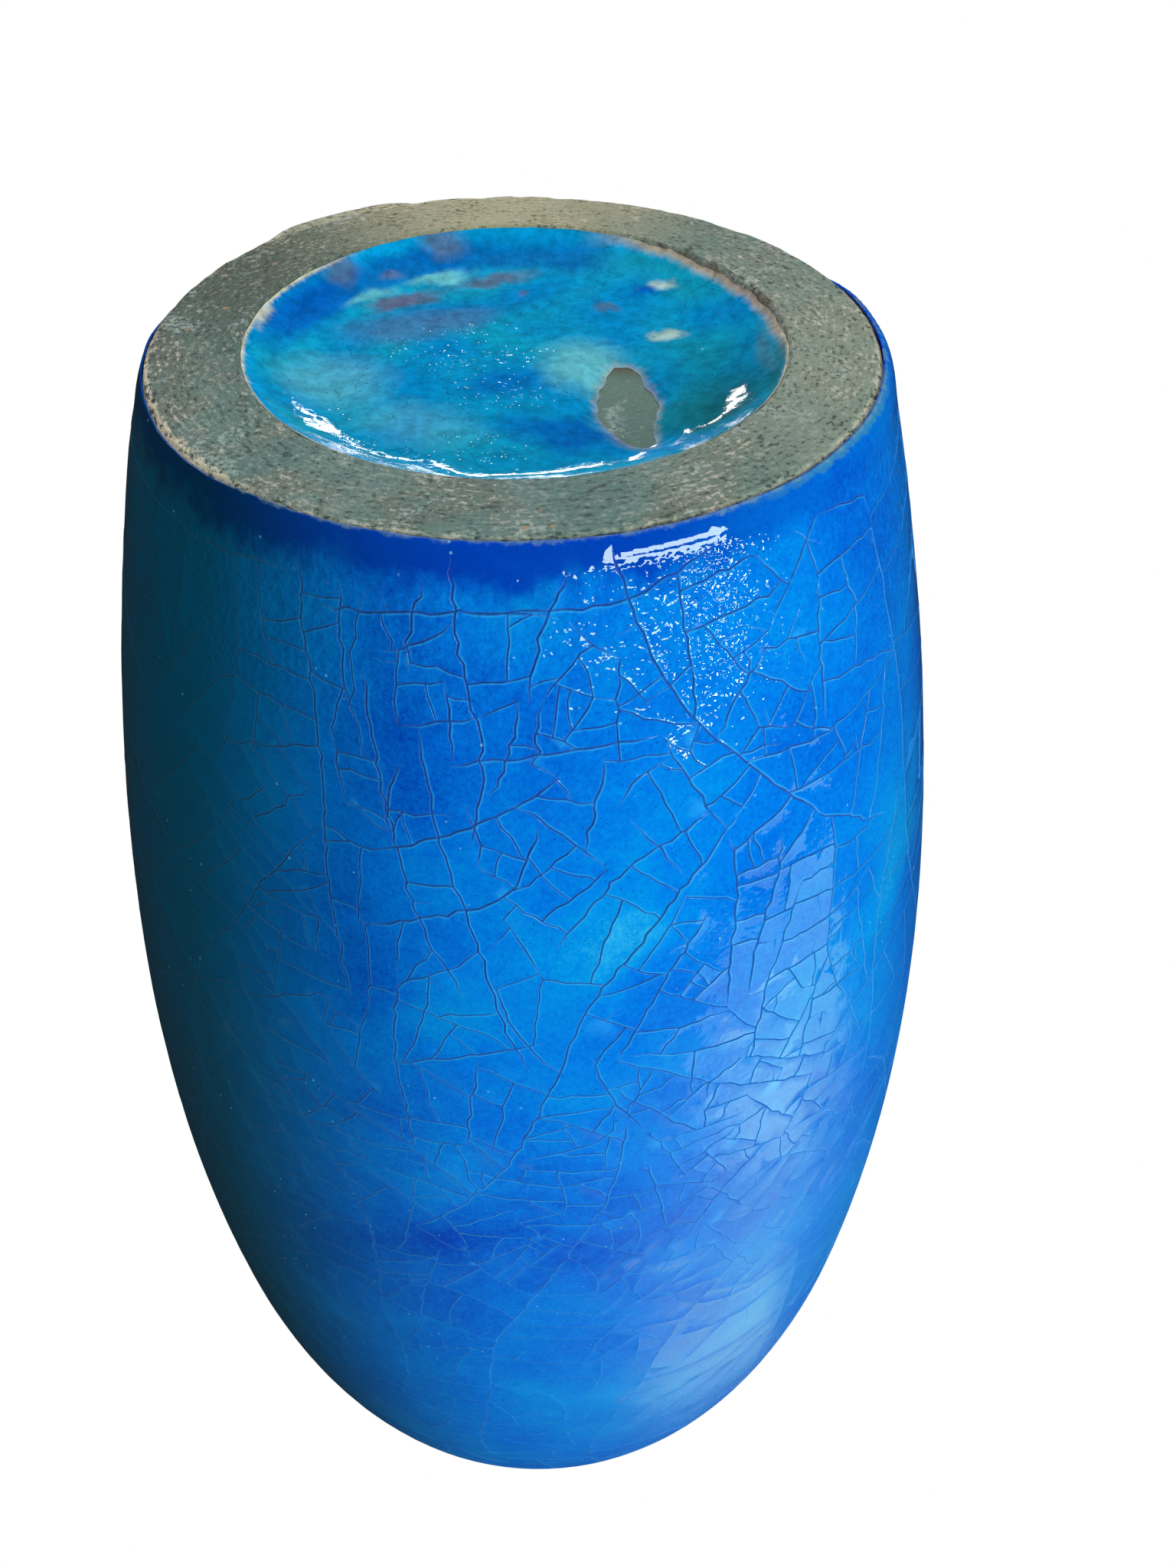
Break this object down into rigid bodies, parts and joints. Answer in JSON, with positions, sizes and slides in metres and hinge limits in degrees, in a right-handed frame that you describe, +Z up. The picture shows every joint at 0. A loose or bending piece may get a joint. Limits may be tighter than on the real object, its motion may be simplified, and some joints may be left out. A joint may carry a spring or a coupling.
{
  "type": "baluster vase",
  "caption": "Glazed stoneware baluster vase with a turned foot ring, swelling shoulder, short neck and flared lip; stands on its foot and holds water and stems.",
  "frame": {"origin": "centre of the flat face of the foot ring, on the table", "axes": "+Z up the vase's axis from foot to lip; -Y is the side nearest the picture's camera"},
  "size_m": [0.1442, 0.1442, 0.2919],
  "materials": {
    "fired_clay": "matt unglazed stoneware, ground flat on the foot",
    "sea_blue_glaze": "satin gloss blue glaze with turquoise clouds and a dark crackle",
    "lining_glaze": "satin gloss blue-green glaze",
    "pool_glaze": "glossy turquoise glaze with cobalt blotches and fine crazing"
  },
  "bodies": {
    "root": {"clay_body": "fired_clay", "outer_glaze": "sea_blue_glaze", "inner_glaze": "lining_glaze", "base_glaze": "pool_glaze"}
  },
  "joints": []
}
